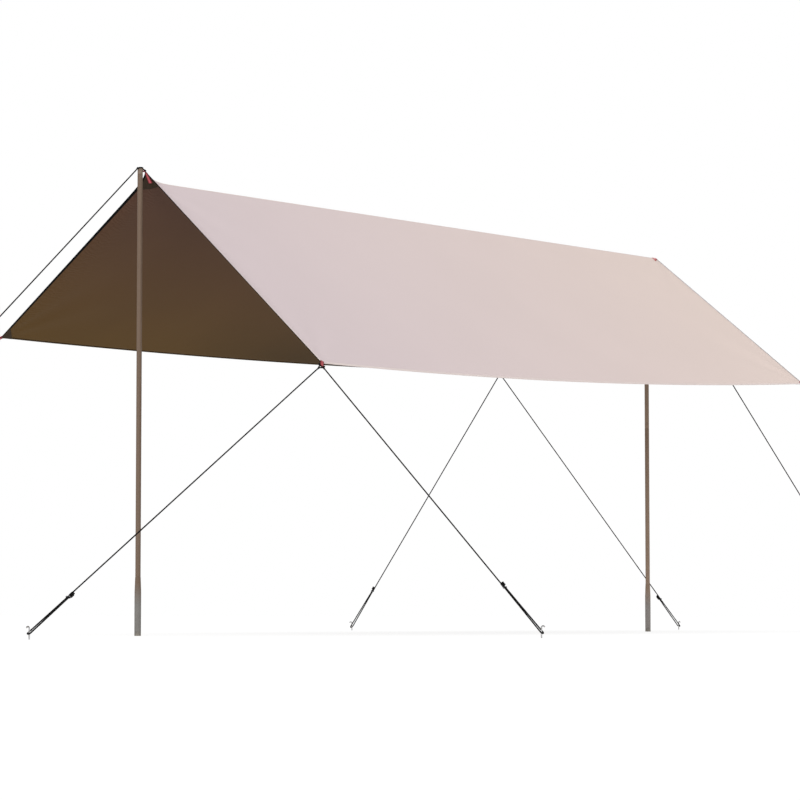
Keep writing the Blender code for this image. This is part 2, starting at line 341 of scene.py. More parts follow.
def slack_height(u, v):
    """Height of the folds and slack over the plain cloth."""
    width = panel_width(u, v)
    from_gable = HALF_LENGTH * (1 - abs(u))
    from_ridge = abs(v) * width
    phase = FOLD_PHASES[side_of(v) + ("_near" if u < 0 else "_far")]
    folds = fan(from_gable, width - from_ridge, phase)
    folds += RIDGE_FOLD_SHARE * fan(from_gable, from_ridge, -phase)
    ripple = noise.noise(Vector((u * HALF_LENGTH, v * width, 0)) / RIPPLE_SIZE)
    inside = (1 - u * u) * 4 * abs(v) * (1 - abs(v))
    return FOLD_HEIGHT * folds + RIPPLE_HEIGHT * ripple * inside


def cloth_surface(u, v):
    return plain_cloth(u, v) + UP * slack_height(u, v)


def cloth_normal(u, v):
    step = NORMAL_STEP
    along = cloth_surface(u + step, v) - cloth_surface(u - step, v)
    across = cloth_surface(u, v + step) - cloth_surface(u, v - step)
    return along.cross(across).normalized()


def on_cloth(u, v, lift):
    """A point that is lift above the cloth's outer face, square to it."""
    return cloth_surface(u, v) + cloth_normal(u, v) * lift


# Making meshes

def new_object(name, data):
    made = bpy.data.objects.new(name, data)
    bpy.context.scene.collection.objects.link(made)
    return made


def mesh_object(name, bm, used):
    """Writes a bmesh to a new object with the finishes that it uses."""
    mesh = bpy.data.meshes.new(name)
    bm.to_mesh(mesh)
    bm.free()
    for finish in used:
        mesh.materials.append(finishes[finish])
    return new_object(name, mesh)


def mapped_grid(bm, columns, rows, surface):
    """Adds a grid whose point (s, t), each 0 to 1, gets the place and UV of surface(s, t)."""
    uv_layer = bm.loops.layers.uv.verify()
    verts = bmesh.ops.create_grid(bm, x_segments=columns, y_segments=rows, size=0.5)["verts"]
    for vert in verts:
        vert.co, uv = surface(vert.co.x + 0.5, vert.co.y + 0.5)
        for loop in vert.link_loops:
            loop[uv_layer].uv = uv
    return verts


def add_piece(name, bm, used, smooth_angle=35, replaces=(), thickness=0, offset=0):
    """Writes a bmesh to a new piece that rides on the canopy. A sheet gets its thickness,
    and its lower face the last of the used finishes."""
    piece = mesh_object(name, bm, used)
    piece.data.shade_smooth()
    piece.data.set_sharp_from_angle(angle=math.radians(smooth_angle))
    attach(piece, "root")
    if replaces:
        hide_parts(*replaces)
    if thickness:
        solidify = piece.modifiers.new("thickness", "SOLIDIFY")
        solidify.thickness = thickness
        solidify.offset = offset
        solidify.material_offset = len(used) - 1
    return piece


def axes_matrix(origin, x_axis, z_axis):
    """A matrix with the given X axis, and Z as near to z_axis as that allows."""
    x_axis = x_axis.normalized()
    y_axis = z_axis.cross(x_axis).normalized()
    z_axis = x_axis.cross(y_axis)
    rotation = Matrix((x_axis, y_axis, z_axis)).transposed().to_4x4()
    return Matrix.Translation(origin) @ rotation


def arc(centre_x, radius, start, turn, steps):
    """Flat points on an arc round (centre_x, 0), with both its ends."""
    angles = [start + turn * i / steps for i in range(steps + 1)]
    return [(centre_x + radius * math.cos(angle), radius * math.sin(angle)) for angle in angles]


def sides_of(outline):
    """Each side of a closed outline as a pair of points."""
    return list(zip(outline, outline[1:] + outline[:1]))


def smooth_path(points, steps):
    """A smooth curve through points, with that many steps between each two."""
    padded = [points[0] * 2 - points[1], *points, points[-1] * 2 - points[-2]]
    path = []
    for before, start, end, after in zip(padded, padded[1:], padded[2:], padded[3:]):
        for i in range(steps):
            t = i / steps
            bend = (before * -0.5 + start * 1.5 - end * 1.5 + after * 0.5) * t ** 3
            bend += (before - start * 2.5 + end * 2 - after * 0.5) * t ** 2
            path.append(start + (end - before) * (0.5 * t) + bend)
    path.append(points[-1])
    return path


def path_frames(path):
    """Each point of a path with two axes across it, carried along without twist."""
    frames = []
    side = None
    for i, point in enumerate(path):
        tangent = (path[min(i + 1, len(path) - 1)] - path[max(i - 1, 0)]).normalized()
        if side is None:
            side = tangent.orthogonal()
        side = (side - tangent * side.dot(tangent)).normalized()
        frames.append((point, side, tangent.cross(side)))
    return frames


def add_tube(name, path, radii, sides, finish, smooth_angle, node):
    """Sweeps a round section along a path and closes its ends. UV is metres along, turns around."""
    frames = path_frames(path)
    last = len(path) - 1
    lengths = [0]
    for start, end in zip(path, path[1:]):
        lengths.append(lengths[-1] + (end - start).length)

    def surface(s, t):
        i = round(s * last)
        point, side, up = frames[i]
        angle = 2 * math.pi * t
        return point + (side * math.cos(angle) + up * math.sin(angle)) * radii[i], (lengths[i], t)

    bm = bmesh.new()
    verts = mapped_grid(bm, last, sides, surface)
    bmesh.ops.remove_doubles(bm, verts=verts, dist=MERGE_DISTANCE)
    rims = [edge for edge in bm.edges if edge.is_boundary]
    bmesh.ops.holes_fill(bm, edges=rims, sides=0)
    bmesh.ops.recalc_face_normals(bm, faces=bm.faces)
    add_piece(name, bm, [finish], smooth_angle, replaces=[node])


# Canopy cloth and what is sewn to it

def crowded(s):
    """Stations from -1 to 1 that crowd towards both ends."""
    t = 2 * s - 1
    return (1 - END_CROWDING) * t + END_CROWDING * math.sin(t * math.pi / 2)


def beside_ridge(t):
    """Stations from -1 to 1 that crowd towards the ridge."""
    v = 2 * t - 1
    return math.copysign(abs(v) ** RIDGE_CROWDING, v)


def add_cloth():
    def surface(s, t):
        u = crowded(s)
        v = beside_ridge(t)
        return cloth_surface(u, v), (u * HALF_LENGTH, v * panel_width(u, v))

    bm = bmesh.new()
    mapped_grid(bm, COLUMNS, ROWS, surface)
    return add_piece("canopy_cloth", bm, ["outer_cloth", "inner_cloth"],
                     replaces=["canopy_sheet"], thickness=CLOTH_THICKNESS, offset=-1)


def edge_place(edge, along, inset, lift):
    """A point beside one edge of the cloth: inset from it, and lift above the outer face."""
    if edge in ("front", "rear"):
        v = -1 if edge == "front" else 1
        u = along * (1 - inset / HALF_LENGTH)
        v *= 1 - inset / panel_width(u, v)
    else:
        u = (1 - inset / HALF_LENGTH) * (-1 if edge == "near" else 1)
        v = along * (1 - inset / panel_width(u, along))
    return on_cloth(u, v, lift)


def add_edge_strip(bm, edge, profile):
    """Runs a strip along one edge of the cloth. Its profile is a list of (inset, lift)."""
    is_eave = edge in ("front", "rear")
    station = crowded if is_eave else beside_ridge
    half_length = HALF_LENGTH if is_eave else panel_width(0, -1)
    last = len(profile) - 1

    def surface(s, t):
        along = station(s)
        inset, lift = profile[round(t * last)]
        return edge_place(edge, along, inset, lift), (along * half_length, inset)

    verts = mapped_grid(bm, COLUMNS if is_eave else ROWS, last, surface)
    if edge in ("rear", "near"):
        faces = {face for vert in verts for face in vert.link_faces}
        bmesh.ops.reverse_faces(bm, faces=list(faces))


def edge_strips(edges, profile):
    bm = bmesh.new()
    for edge in edges:
        add_edge_strip(bm, edge, profile)
    return bm


def add_hem():
    profile = [(0, HEM_THICKNESS), (HEM_WIDTH, HEM_THICKNESS), (HEM_WIDTH, 0)]
    bm = edge_strips(("front", "rear", "near", "far"), profile)
    return add_piece("edge_hem", bm, ["hem"], thickness=HEM_CLOTH, offset=-1)


def add_bindings():
    """Black tape folded round the gable edges, and a brown tape under each eave."""
    top = HEM_THICKNESS + BINDING_THICKNESS
    below = -CLOTH_THICKNESS - GAP
    folded = [(BINDING_LIP, top), (0, top), (-BINDING_THICKNESS, below / 2), (0, below),
              (BINDING_WIDTH, below)]
    under = [(EAVE_BINDING_INSET, below), (BINDING_WIDTH, below)]
    tapes = (("gable_binding", ("near", "far"), folded), ("eave_binding", ("front", "rear"), under))
    return [add_piece(name, edge_strips(edges, profile), [name], smooth_angle=60,
                      thickness=BINDING_THICKNESS) for name, edges, profile in tapes]


def add_ridge_seam():
    """A felled seam laid over the ridge, with a row of stitches on each side."""
    def surface(s, t):
        u = crowded(s) * (1 - HEM_WIDTH / HALF_LENGTH)
        across = (2 * t - 1) * SEAM_HALF_WIDTH
        place = on_cloth(u, across / panel_width(u, across), HEM_THICKNESS)
        return place, (u * HALF_LENGTH, SEAM_HALF_WIDTH - abs(across))

    bm = bmesh.new()
    mapped_grid(bm, COLUMNS, SEAM_ROWS, surface)
    return add_piece("ridge_seam", bm, ["hem"], thickness=HEM_THICKNESS, offset=-1)


# Patches and stitches: outlines in metres along and across the cloth

def corner_spot(corner):
    """Turns distances from a corner's gable edge and eave into u and v."""
    u_sign, v_sign = signs(corner)

    def spot(from_gable, from_eave):
        u = u_sign * (1 - from_gable / HALF_LENGTH)
        return u, v_sign * (1 - from_eave / panel_width(u, v_sign))
    return spot


def ridge_spot(end):
    """Turns distances from a gable edge and from the ridge into u and v."""
    def spot(from_gable, from_ridge):
        u = signs(end)[0] * (1 - from_gable / HALF_LENGTH)
        return u, from_ridge / panel_width(u, from_ridge)
    return spot


def cut_to_cells(bm, cell):
    """Cuts flat faces along lines a cell apart, so that they can bend."""
    for axis in (Vector((1, 0, 0)), Vector((0, 1, 0))):
        reach = [vert.co.dot(axis) for vert in bm.verts]
        first = math.floor(min(reach) / cell)
        for i in range(first, math.ceil(max(reach) / cell) + 1):
            geom = bm.verts[:] + bm.edges[:] + bm.faces[:]
            bmesh.ops.bisect_plane(bm, geom=geom, plane_co=axis * cell * i, plane_no=axis)


def strap_bulge(from_gable, from_eave):
    """How far a corner patch stands off the cloth, over the end of the strap that it covers."""
    beside = (from_gable - from_eave) / STRAP_WIDTH
    inside = (from_gable + from_eave) / (3 * STRAP_WIDTH)
    return PATCH_BULGE * math.exp(-beside ** 4 - inside ** 4)


def no_bulge(from_gable, from_ridge):
    return 0


def add_patch(name, outline, spot, bulge):
    """Sews a patch with the given outline to the cloth's underside."""
    bm = bmesh.new()
    uv_layer = bm.loops.layers.uv.verify()
    bm.faces.new([bm.verts.new((x, y, 0)) for x, y in outline])
    cut_to_cells(bm, PATCH_CELL)
    for face in bm.faces:
        for loop in face.loops:
            loop[uv_layer].uv = loop.vert.co.xy
    depth = CLOTH_THICKNESS + BINDING_THICKNESS + 2 * GAP + PATCH_THICKNESS / 2
    for vert in bm.verts:
        x, y = vert.co.xy
        vert.co = on_cloth(*spot(x, y), -depth - bulge(x, y))
    bmesh.ops.recalc_face_normals(bm, faces=bm.faces)
    return add_piece(name, bm, ["patch"], thickness=PATCH_THICKNESS)


def patch_plans():
    """Each patch's name, outline, place that the outline is measured from, and bulge."""
    inset = CORNER_PATCH_INSET
    outline = [(inset, inset), (CORNER_PATCH, inset), (inset, CORNER_PATCH)]
    plans = []
    for corner in CORNERS:
        plans.append((corner + "_patch", outline, corner_spot(corner), strap_bulge))
    inset = BINDING_WIDTH / 2
    spread = RIDGE_PATCH_SPREAD
    for end, depth in RIDGE_PATCH_LENGTH.items():
        outline = [(inset, -spread), (depth, -spread / 3), (depth, spread / 3), (inset, spread)]
        plans.append((end + "_ridge_patch", outline, ridge_spot(end), no_bulge))
    return plans


def sew(bm, start, end, surface):
    """Lays stitches from start to end, two flat points, on surface(x, y) = (place, normal)."""
    run = Vector(end) - Vector(start)
    count = max(1, int(run.length / STITCH_PITCH))
    for i in range(count):
        middle = Vector(start) + run * ((i + 0.5) / count)
        ahead = middle + run.normalized() * STITCH_LENGTH / 2
        place, normal = surface(*middle)
        turn = axes_matrix(place, surface(*ahead)[0] - place, normal)
        size = Matrix.Diagonal((STITCH_LENGTH / 2, STITCH_WIDTH / 2, STITCH_WIDTH / 3, 1))
        bmesh.ops.create_icosphere(bm, subdivisions=1, radius=1, matrix=turn @ size)


def sewing_surface(spot, lift):
    """Where a stitch lies and which way it faces, lift above the cloth."""
    def surface(x, y):
        u, v = spot(x, y)
        return on_cloth(u, v, lift), cloth_normal(u, v)
    return surface


def under_hem(start, end):
    """Whether a patch's side runs along the cloth's edge, where the hem covers its stitches."""
    return any(start[axis] == end[axis] and abs(start[axis]) < HEM_WIDTH for axis in (0, 1))


def add_patch_stitches():
    """Stitches of the patches, where they show on the cloth's outer face."""
    bm = bmesh.new()
    for _, outline, spot, _ in patch_plans():
        for start, end in sides_of(outline):
            if not under_hem(start, end):
                sew(bm, start, end, sewing_surface(spot, 0))
    return add_piece("patch_stitches", bm, ["thread"])


# Webbing straps, laid through rows across them: each row is a function of t, 0 to 1

def corner_strap_matrix(corner):
    """Axes of a corner strap: X outwards, Z up from the cloth, origin at its inner end."""
    u, v = signs(corner)
    tip = plain_cloth(u, v)
    outward_x = (tip - plain_cloth(u * CAD_STEP_ALONG, v)).normalized()
    outward_y = (tip - plain_cloth(u, v * CAD_STEP_ACROSS)).normalized()
    diagonal = (outward_x + outward_y).normalized()
    normal = outward_x.cross(outward_y).normalized() * u * v
    drop = STRAP_CLOTH + STRAP_SEAT + STRAP_THICKNESS / 2
    return axes_matrix(tip - diagonal * STRAP_UNDERLAP - normal * drop, diagonal, normal)


def ridge_strap_matrix(end):
    """Axes of a ridge strap: X outwards, Z up, origin at the end of the ridge."""
    outward = signs(end)[0]
    rise = RIDGE_STRAP_RISE[end]
    direction = Vector((outward * math.cos(rise), 0, math.sin(rise)))
    normal = Vector((-outward * math.sin(rise), 0, math.cos(rise)))
    lead = STRAP_THICKNESS / 2 * abs(math.sin(rise)) + RIDGE_STRAP_SEAT[end]
    origin = ridge_point(outward) + Vector((outward * lead, 0, -STRAP_CLOTH))
    return axes_matrix(origin, direction, normal)


def loop_tip(length):
    """Centre of the round end of a strap's loop."""
    return length - LOOP_ROOM - WEBBING_THICKNESS / 2


def rows_across(matrix, side_view, half):
    """Straight rows of a strap with the given (x, z) side view and half width."""
    def row(x, z):
        return lambda t: matrix @ Vector((x, (2 * t - 1) * half, z))
    return [row(x, z) for x, z in side_view]


def corner_loop():
    """Side view of a folded strap that grips the cloth's corner and opens to a loop at its end."""
    tip = loop_tip(STRAP_LENGTH)
    leg = [(STRAP_GRIP * (i / LEG_STEPS - 1), STRAP_CLOTH_LIFT, STRAP_HALF_GAP)
           for i in range(LEG_STEPS)]
    for i in range(LEG_STEPS + 1):
        t = i / LEG_STEPS
        widen = min(1, LOOP_FLARE * t)
        ease = widen * widen * (3 - 2 * widen)
        gap = STRAP_HALF_GAP + (LOOP_ROOM - STRAP_HALF_GAP) * ease
        leg.append((STRAP_UNDERLAP + (tip - STRAP_UNDERLAP) * t, STRAP_CLOTH_LIFT * (1 - ease), gap))
    turn = arc(tip, LOOP_ROOM, math.pi / 2, -math.pi, LOOP_TURN_STEPS)[1:-1]
    upper = [(x, middle + gap) for x, middle, gap in leg]
    lower = [(x, middle - gap) for x, middle, gap in reversed(leg)]
    return upper + turn + lower


def ridge_loop(matrix, start, half):
    """Rows of a ridge strap's open loop, from start along its middle plane to its tip."""
    tip = loop_tip(RIDGE_STRAP_LENGTH)
    shares = [i / LOOP_SIDE_STEPS for i in range(1, LOOP_SIDE_STEPS)]
    side = [(start + (tip - start) * share, LOOP_ROOT + (LOOP_ROOM - LOOP_ROOT) * share)
            for share in shares]
    lower = [(x, -gap) for x, gap in side]
    turn = arc(tip, LOOP_ROOM, -math.pi / 2, math.pi, LOOP_TURN_STEPS)
    return rows_across(matrix, lower + turn + side[::-1], half)


def ridge_leg(end, depth, lift, inner_half, edge_half):
    """Rows of a strap's end on the ridge, from depth out to the cloth's edge."""
    spot = ridge_spot(end)

    def row(share):
        from_gable = depth + (RIDGE_LEG_INSET - depth) * share
        half = inner_half + (edge_half - inner_half) * share
        return lambda t: on_cloth(*spot(from_gable, (2 * t - 1) * half), lift)
    return [row(i / LEG_STEPS) for i in range(LEG_STEPS + 1)]


def hanging_tail():
    """Rows of the near ridge strap's free end, which hangs inwards under the cloth's peak."""
    peak = cloth_surface(-1, 0)
    peak += Vector((RIDGE_LEG_INSET, 0, -CLOTH_THICKNESS - 2 * WEBBING_THICKNESS))
    hang = Vector((math.cos(TAIL_DROP), 0, -math.sin(TAIL_DROP)))

    def row(share):
        half = PINCHED_HALF_WIDTH + (TAIL_HALF_WIDTH - PINCHED_HALF_WIDTH) * share ** TAIL_FLARE
        return lambda t: peak + hang * TAIL_REACH * share + Vector((0, (2 * t - 1) * half, 0))
    return [row(1 - i / TAIL_STEPS) for i in range(TAIL_STEPS + 1)]


def add_strap(place_name, rows, columns, length, finish):
    """A webbing strap of the given length, laid through its rows."""
    last = len(rows) - 1

    def surface(s, t):
        return rows[round(s * last)](t), (s * length, t * STRAP_WIDTH)

    bm = bmesh.new()
    mapped_grid(bm, last, columns, surface)
    bmesh.ops.recalc_face_normals(bm, faces=bm.faces)
    return add_piece("webbing_" + place_name, bm, [finish], smooth_angle=50,
                     replaces=["strap_" + place_name], thickness=WEBBING_THICKNESS)


def add_corner_strap(corner, matrix):
    """A webbing loop, sewn flat over both faces of a cloth corner and open where its ropes pass."""
    rows = rows_across(matrix, corner_loop(), STRAP_WIDTH / 2)
    length = 2 * (STRAP_LENGTH + STRAP_GRIP)
    return add_strap(corner, rows, CORNER_STRAP_COLUMNS, length, "webbing")


def add_corner_stitches(corner, matrix):
    """A sewn box with a cross in it, on the upper face of a corner strap."""
    lift = STRAP_CLOTH_LIFT + STRAP_HALF_GAP + WEBBING_THICKNESS / 2
    low = STITCH_INSET - STRAP_GRIP
    high = STRAP_UNDERLAP - STITCH_INSET
    side = STRAP_WIDTH / 2 - STITCH_INSET
    box = [(low, -side), (high, -side), (high, side), (low, side)]
    bm = bmesh.new()

    def surface(x, y):
        return matrix @ Vector((x, y, lift)), matrix.to_3x3() @ UP

    for start, end in sides_of(box) + [(box[0], box[2]), (box[1], box[3])]:
        sew(bm, start, end, surface)
    return add_piece("webbing_stitches_" + corner, bm, ["webbing_thread"])


def add_ridge_strap(end, matrix):
    """A webbing loop on the ridge's end, sewn to the cloth's outer face. The far one is sewn
    to the inner face too, and the near one has a free tail there."""
    over = HEM_THICKNESS + BINDING_THICKNESS + GAP + WEBBING_THICKNESS
    if end == "near":
        rows = hanging_tail() + ridge_loop(matrix, PEAK_PULL.length, PINCHED_HALF_WIDTH)
        rows += ridge_leg(end, STRAP_UNDERLAP, over, PINCHED_HALF_WIDTH, STRAP_WIDTH / 4)[::-1]
        finish = "webbing"
    else:
        under = -CLOTH_THICKNESS - PATCH_THICKNESS - BINDING_THICKNESS - 3 * GAP - WEBBING_THICKNESS
        rows = ridge_leg(end, RIDGE_LEG, under, RIDGE_LEG_SPREAD, STRAP_WIDTH / 2)
        rows += ridge_loop(matrix, 0, PINCHED_HALF_WIDTH)
        rows += ridge_leg(end, RIDGE_LEG, over, RIDGE_FLAP_SPREAD, STRAP_WIDTH / 2)[::-1]
        finish = "far_webbing"
    length = (len(rows) - 1) * RIDGE_ROW_LENGTH
    return add_strap("ridge_" + end, rows, RIDGE_STRAP_COLUMNS, length, finish)


def add_ridge_stitches():
    """Rows of stitches along and across the sewn end of the far ridge strap."""
    lift = HEM_THICKNESS + BINDING_THICKNESS + GAP + WEBBING_THICKNESS * 1.5
    surface = sewing_surface(ridge_spot("far"), lift)
    bm = bmesh.new()
    for side in (-1, 1):
        box = [(from_gable, side * from_ridge) for from_gable, from_ridge in FLAP_STITCHES]
        for start, end in sides_of(box):
            sew(bm, start, end, surface)
    return add_piece("webbing_stitches_ridge_far", bm, ["webbing_thread"])


# Poles, turned from (radius, height) profiles

def add_turned(name, profile, centre_x, finish, node):
    bm = bmesh.new()
    verts = [bm.verts.new((radius, 0, height)) for radius, height in profile]
    edges = [bm.edges.new(pair) for pair in zip(verts, verts[1:])]
    bmesh.ops.spin(bm, geom=verts + edges, cent=(0, 0, 0), axis=(0, 0, 1),
                   angle=2 * math.pi, steps=POLE_SIDES, use_merge=True)
    bmesh.ops.remove_doubles(bm, verts=bm.verts, dist=MERGE_DISTANCE)
    bmesh.ops.recalc_face_normals(bm, faces=bm.faces)
    bmesh.ops.translate(bm, verts=bm.verts, vec=(centre_x, 0, 0))
    return add_piece(name, bm, [finish], replaces=[node])


def lower_edge(radius, height, size):
    """Points up round the outer edge at the bottom of a profile."""
    turn = arc(radius - size, size, -math.pi / 2, math.pi / 2, EDGE_STEPS)
    return [(x, height + size + z) for x, z in turn]


def upper_edge(radius, height, size):
    """Points up round the outer edge at the top of a profile."""
    turn = arc(radius - size, size, 0, math.pi / 2, EDGE_STEPS)
    return [(x, height - size + z) for x, z in turn]


def groove(radius, height, depth, width):
    """A shallow round groove in a profile."""
    return [(radius - depth * math.sin(math.pi * i / GROOVE_STEPS),
             height + width * (i / GROOVE_STEPS - 0.5)) for i in range(GROOVE_STEPS + 1)]


def add_pole(end, centre_x):
    tip_low, tip_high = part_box(end + "_pole_tip")
    cap_base = tip_low.z
    top = cap_base + CAP_HEIGHT - GAP
    joint = SECTION_JOINT_HEIGHT
    foot = [(0, 0)] + lower_edge(FOOT_RADIUS, 0, FOOT_EDGE)
    for height in FOOT_GROOVES:
        foot += groove(FOOT_RADIUS, height, *FOOT_GROOVE)
    foot += [(FOOT_RADIUS, FOOT_HEIGHT - FOOT_TAPER),
             (POLE_RADIUS + FOOT_LIP, FOOT_HEIGHT - FOOT_LIP_HEIGHT),
             (POLE_RADIUS, FOOT_HEIGHT), (0, FOOT_HEIGHT)]
    lower = [(0, FOOT_HEIGHT + GAP), (POLE_RADIUS, FOOT_HEIGHT + GAP)]
    lower += groove(POLE_RADIUS, joint - CRIMP_DROP, *CRIMP_GROOVE)
    lower += upper_edge(POLE_RADIUS, joint, SECTION_EDGE) + [(0, joint)]
    upper = [(0, joint + GAP)] + lower_edge(POLE_RADIUS, joint + GAP, SECTION_EDGE)
    upper += [(POLE_RADIUS, cap_base - GAP), (0, cap_base - GAP)]
    cap = [(0, cap_base)] + lower_edge(POLE_RADIUS, cap_base, CAP_LOWER_EDGE)
    cap += upper_edge(POLE_RADIUS, top, CAP_UPPER_EDGE)
    cap += [(PIN_RADIUS + PIN_FILLET, top), (PIN_RADIUS, top + PIN_FILLET)]
    cap += upper_edge(PIN_RADIUS, tip_high.z, PIN_EDGE) + [(0, tip_high.z)]
    pole = end + "_pole"
    add_turned(pole + "_boot", foot, centre_x, end + "_boot", pole + "_foot")
    add_turned(pole + "_lower_tube", lower, centre_x, pole, pole + "_lower")
    add_turned(pole + "_upper_tube", upper, centre_x, pole, pole + "_upper")
    add_turned(pole + "_cap", cap, centre_x, "cap", pole + "_tip")


# Ropes

def eye_route(matrix, length, throat, lay):
    """Rope from its throat, through a strap's loop and back to the throat. Lay 1 goes outside lay 0."""
    inner = matrix.inverted() @ throat
    through = loop_tip(length) - lay * LAY_BACK
    edge = STRAP_WIDTH / 2 + EYE_BESIDE + lay * LAY_ASIDE
    front = length + EYE_AHEAD + lay * LAY_STEP
    rise = lay * LAY_STEP
    outwards = Vector((inner.x - front, inner.y, 0)).normalized()
    across = Vector((-outwards.y, outwards.x, 0))

    def leg(side):
        return [matrix @ point for point in (
            inner + across * side * EYE_SPREAD,
            Vector((front, side * edge * EYE_SHOULDER, rise)),
            Vector((through + EYE_BEND, side * edge, rise / 2)),
            Vector((through, side * edge * EYE_NARROW, 0)))]
    return leg(-1) + leg(1)[::-1]


def cap_route(matrix, throat, beside, over):
    """Doubled rope over the near pole's cap, through the ridge strap's loop and back."""
    edge = PINCHED_HALF_WIDTH + ROPE_RADIUS
    reach = POLE_RADIUS * CAP_REST

    def leg(side):
        return [throat + Vector((0, side * EYE_SPREAD, 0)),
                Vector((NEAR_POLE_X - reach, side * beside, over)),
                Vector((NEAR_POLE_X + reach, side * beside, over)),
                matrix @ Vector((RIDGE_STRAP_LENGTH + EYE_BEND, side * edge, 0)),
                matrix @ Vector((loop_tip(RIDGE_STRAP_LENGTH), side * edge * EYE_NARROW, 0))]
    return leg(-1) + leg(1)[::-1]


def peg_run(start, foot):
    """The way from a rope's last lead point to the loop round its peg."""
    loop_centre = foot + UP * LOOP_HEIGHT
    direction = (loop_centre - start).normalized()
    side = direction.cross(UP).normalized()
    bar_centre = loop_centre - direction * TENSIONER_DISTANCE
    return loop_centre, direction, side, bar_centre


def wrapped_knot(towards, away, side):
    """A coil of rope from away back to towards, round the strand that joins them."""
    axis = (towards - away).normalized()
    side = (side - axis * side.dot(axis)).normalized()
    up = axis.cross(side)
    points = []
    for i in range(WRAP_TURNS * WRAP_STEPS + 1):
        angle = 2 * math.pi * i / WRAP_STEPS
        arm = side * math.cos(angle) + up * math.sin(angle)
        points.append(away + axis * (WRAP_PITCH * i / WRAP_STEPS) + arm * (2 * ROPE_RADIUS))
    return points


def lower_rope(start, foot):
    """Rope past the tensioner, round the peg and back to a stopper knot behind the tensioner."""
    loop_centre, direction, side, bar_centre = peg_run(start, foot)
    radius = (PEG_RADIUS + ROPE_RADIUS + GAP) / math.cos(math.asin(-direction.z))
    before = bar_centre - direction * TAIL_LENGTH
    after = bar_centre + direction * TAIL_LENGTH
    aside = side * STRAND_SPACING
    points = [before + aside, bar_centre + aside, after + aside]
    for i in range(LOOP_STEPS + 1):
        angle = math.pi * i / LOOP_STEPS
        points.append(loop_centre + (side * math.cos(angle) + direction * math.sin(angle)) * radius)
    seat = bar_centre - direction * (TENSIONER_THICKNESS / 2 + ROPE_RADIUS + GAP) - aside
    points += [after - aside, bar_centre - aside, seat, seat - direction * KNOT_LENGTH]
    return points + wrapped_knot(seat, seat - direction * (KNOT_LENGTH + KNOT_END), -side)


def add_rope(label, loop, start, foot):
    """A guy: its spliced eye, whose tail tapers into the rope, and the rest of the rope."""
    direction = peg_run(start, foot)[1]
    throat = (loop[0] + loop[-1]) / 2
    path = []
    radii = []
    for i in range(SPLICE_STEPS):
        share = i / SPLICE_STEPS
        path.append(throat + direction * SPLICE_LENGTH * (1 - share) + (loop[0] - throat) * share)
        radii.append(ROPE_RADIUS * (SPLICE_THINNEST + (1 - SPLICE_THINNEST) * share))
    path += loop + [throat + direction * SPLICE_LENGTH] + lower_rope(start, foot)
    radii += [ROPE_RADIUS] * (len(path) - len(radii) - 1) + [ROPE_RADIUS * ROPE_END_SHARE]
    add_tube("rope_" + label, path, radii, ROPE_SIDES, "rope", smooth_angle=60,
             node="guy_" + label)


def add_tensioner(label, centre, direction, side):
    """A flat bar with round ends and a hole for each strand of the rope."""
    half = TENSIONER_WIDTH / 2
    reach = TENSIONER_LENGTH / 2 - half
    outline = arc(reach, half, -math.pi / 2, math.pi, TENSIONER_END_STEPS)
    outline += arc(-reach, half, math.pi / 2, math.pi, TENSIONER_END_STEPS)
    outlines = [outline]
    for offset in (STRAND_SPACING, -STRAND_SPACING):
        outlines.append(arc(offset, HOLE_RADIUS, 0, 2 * math.pi, HOLE_STEPS)[:-1])
    bm = bmesh.new()
    edges = []
    for points in outlines:
        verts = [bm.verts.new((x, y, -TENSIONER_THICKNESS / 2)) for x, y in points]
        edges += [bm.edges.new((verts[i - 1], verts[i])) for i in range(len(verts))]
    bmesh.ops.triangle_fill(bm, edges=edges, use_beauty=True)
    extruded = bmesh.ops.extrude_face_region(bm, geom=bm.faces[:])
    moved = [item for item in extruded["geom"] if isinstance(item, bmesh.types.BMVert)]
    bmesh.ops.translate(bm, verts=moved, vec=(0, 0, TENSIONER_THICKNESS))
    bmesh.ops.transform(bm, matrix=axes_matrix(centre, side, direction), verts=bm.verts)
    bmesh.ops.recalc_face_normals(bm, faces=bm.faces)
    bar = add_piece("tensioner_bar_" + label, bm, ["tensioner"],
                    smooth_angle=40, replaces=["tensioner_" + label])
    bevel = bar.modifiers.new("edges", "BEVEL")
    bevel.width = TENSIONER_EDGE
    bevel.segments = 2
    bevel.limit_method = "ANGLE"
    bevel.angle_limit = math.radians(50)


def add_peg(label, foot, outward):
    """A round peg that stands up from the ground and hooks over, away from the canopy."""
    centre = foot + UP * PEG_SHAFT_HEIGHT + outward * PEG_HOOK_RADIUS
    points = [foot, foot + UP * PEG_SHAFT_HEIGHT / 2]
    for i in range(PEG_HOOK_STEPS + 1):
        angle = math.pi - PEG_HOOK_TURN * i / PEG_HOOK_STEPS
        arm = outward * math.cos(angle) + UP * math.sin(angle)
        points.append(centre + arm * PEG_HOOK_RADIUS)
    points.append(points[-1] + (points[-1] - points[-2]).normalized() * PEG_END_LENGTH)
    radii = [PEG_RADIUS] * (len(points) - 1) + [PEG_RADIUS * PEG_END_SHARE]
    add_tube("hook_peg_" + label, points, radii, PEG_SIDES, "peg", smooth_angle=50,
             node="peg_" + label)


def add_guy(label, loop, start, foot):
    """A guy's rope, from its eye to its peg, with its tensioner and peg."""
    _, direction, side, bar_centre = peg_run(start, foot)
    add_rope(label, loop, start, foot)
    add_tensioner(label, bar_centre, direction, side)
    add_peg(label, foot, Vector((direction.x, direction.y, 0)).normalized())


